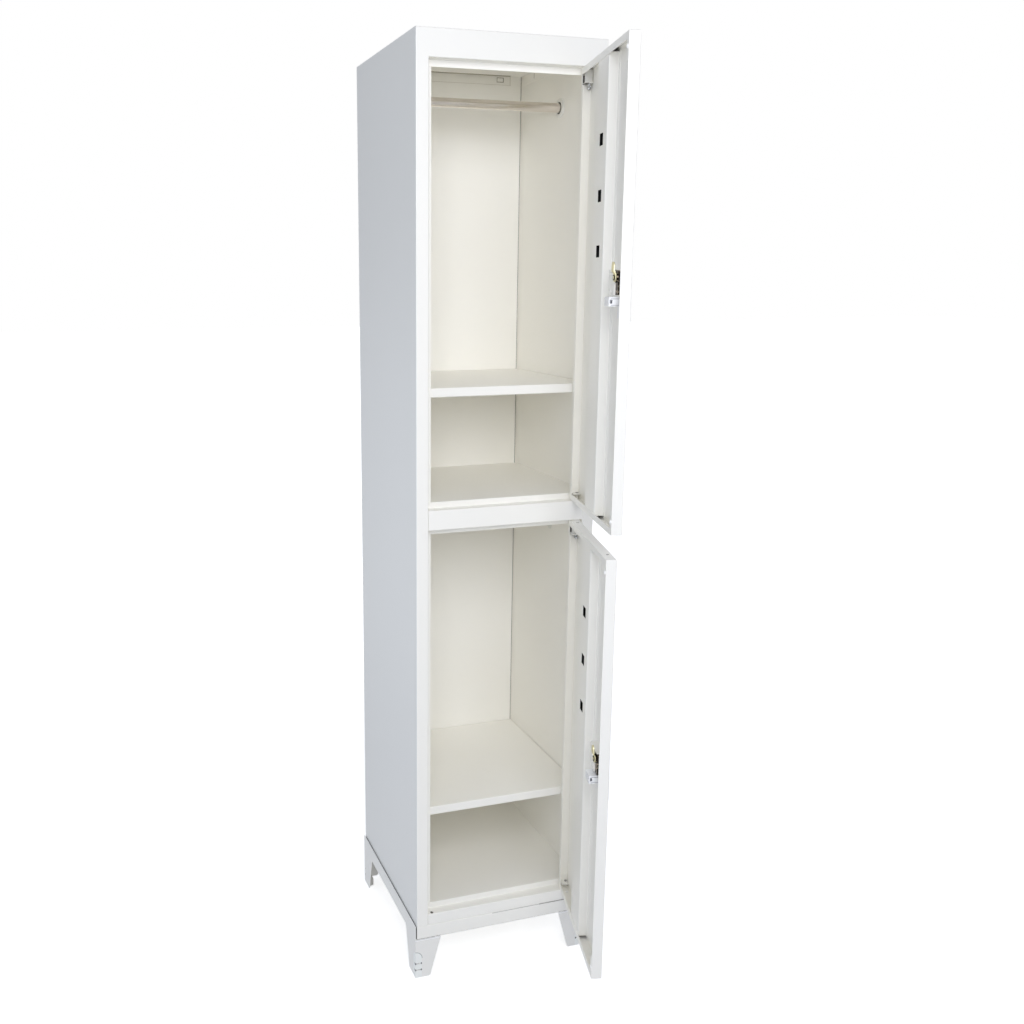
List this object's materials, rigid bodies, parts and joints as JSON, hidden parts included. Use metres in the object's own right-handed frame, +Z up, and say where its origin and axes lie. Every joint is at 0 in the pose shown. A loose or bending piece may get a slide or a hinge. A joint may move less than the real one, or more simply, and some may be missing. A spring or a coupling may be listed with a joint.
{
  "type": "locker cabinet",
  "caption": "Tall tiered steel locker cabinet on pressed legs, with swing doors, cam locks, shelves and a hanging rod.",
  "frame": {"origin": "centre of the cabinet's footprint on the floor", "axes": "+Z up, the fronts face -Y, the hinges are at +X"},
  "size_m": [0.387, 0.7042, 1.89],
  "materials": {
    "white_powder_coat": "fine satin powder coat",
    "white_nylon": "moulded, satin",
    "white_abs": "moulded, semi-gloss",
    "white_rubber": "soft, matt",
    "grey_nylon": "moulded, matt",
    "chromed_steel": "polished",
    "zinc_plated_steel": "bright zinc",
    "dark_steel": "blackened",
    "dark_zinc_casting": "dark bronze coat",
    "brass": "satin"
  },
  "bodies": {
    "cabinet": {"left_side_panel": "white_powder_coat", "right_side_panel": "white_powder_coat", "back_panel": "white_powder_coat", "top_panel": "white_powder_coat", "mid_divider": "white_powder_coat", "bottom_panel": "white_powder_coat", "front_plinth_rail": "white_powder_coat", "rear_plinth_rail": "white_powder_coat", "left_leg_frame": "white_powder_coat", "right_leg_frame": "white_powder_coat", "foot_glides": "grey_nylon", "leg_bolts": "zinc_plated_steel", "leg_nuts": "zinc_plated_steel", "upper_shelf": "white_powder_coat", "lower_shelf": "white_powder_coat", "upper_shelf_clips": "white_powder_coat", "lower_shelf_clips": "white_powder_coat", "hanging_rod": "chromed_steel", "rod_sockets": "white_nylon", "rod_plugs": "white_nylon", "pivot_bushes": "white_nylon"},
    "upper_door": {"upper_door_pan": "white_powder_coat", "upper_door_stiffener": "white_powder_coat", "upper_door_pivot_brackets": "white_powder_coat", "upper_door_lower_pivot_pin": "zinc_plated_steel", "upper_door_pull": "white_abs", "upper_door_pull_screws": "zinc_plated_steel", "upper_door_lock_body": "dark_zinc_casting", "upper_door_lock_cover": "white_powder_coat", "upper_door_cover_screws": "zinc_plated_steel", "upper_door_lock_ring": "chromed_steel", "upper_door_bumpers": "white_rubber"},
    "upper_lock": {"upper_door_lock_plug": "brass", "upper_door_lock_cam": "brass", "upper_door_cam_nut": "dark_steel"},
    "upper_pin": {"upper_door_upper_pivot_pin": "zinc_plated_steel"},
    "lower_door": {"lower_door_pan": "white_powder_coat", "lower_door_stiffener": "white_powder_coat", "lower_door_pivot_brackets": "white_powder_coat", "lower_door_lower_pivot_pin": "zinc_plated_steel", "lower_door_pull": "white_abs", "lower_door_pull_screws": "zinc_plated_steel", "lower_door_lock_body": "dark_zinc_casting", "lower_door_lock_cover": "white_powder_coat", "lower_door_cover_screws": "zinc_plated_steel", "lower_door_lock_ring": "chromed_steel", "lower_door_bumpers": "white_rubber"},
    "lower_lock": {"lower_door_lock_plug": "brass", "lower_door_lock_cam": "brass", "lower_door_cam_nut": "dark_steel"},
    "lower_pin": {"lower_door_upper_pivot_pin": "zinc_plated_steel"}
  },
  "joints": [
    {"name": "upper_door_hinge", "type": "hinge", "parent": "cabinet", "child": "upper_door", "pos_m": [0.155, -0.1935, 1.42625], "axis": [0, 0, 1], "range_deg": [-76.45, 31.55]},
    {"name": "upper_lock_turn", "type": "hinge", "parent": "upper_door", "child": "upper_lock", "pos_m": [0.09291, -0.4789, 1.454], "axis": [0.9722, -0.2343, 0], "range_deg": [0, 90]},
    {"name": "upper_pin_slide", "type": "slide", "parent": "upper_door", "child": "upper_pin", "axis": [0, 0, 1], "range_m": [-0.0085, 0]},
    {"name": "lower_door_hinge", "type": "hinge", "parent": "cabinet", "child": "lower_door", "pos_m": [0.155, -0.1935, 0.55875], "axis": [0, 0, 1], "range_deg": [-75.25, 32.75]},
    {"name": "lower_lock_turn", "type": "hinge", "parent": "lower_door", "child": "lower_lock", "pos_m": [0.08694, -0.47753, 0.5865], "axis": [0.967, -0.2546, 0], "range_deg": [0, 90]},
    {"name": "lower_pin_slide", "type": "slide", "parent": "lower_door", "child": "lower_pin", "axis": [0, 0, 1], "range_m": [-0.0085, 0]}
  ]
}
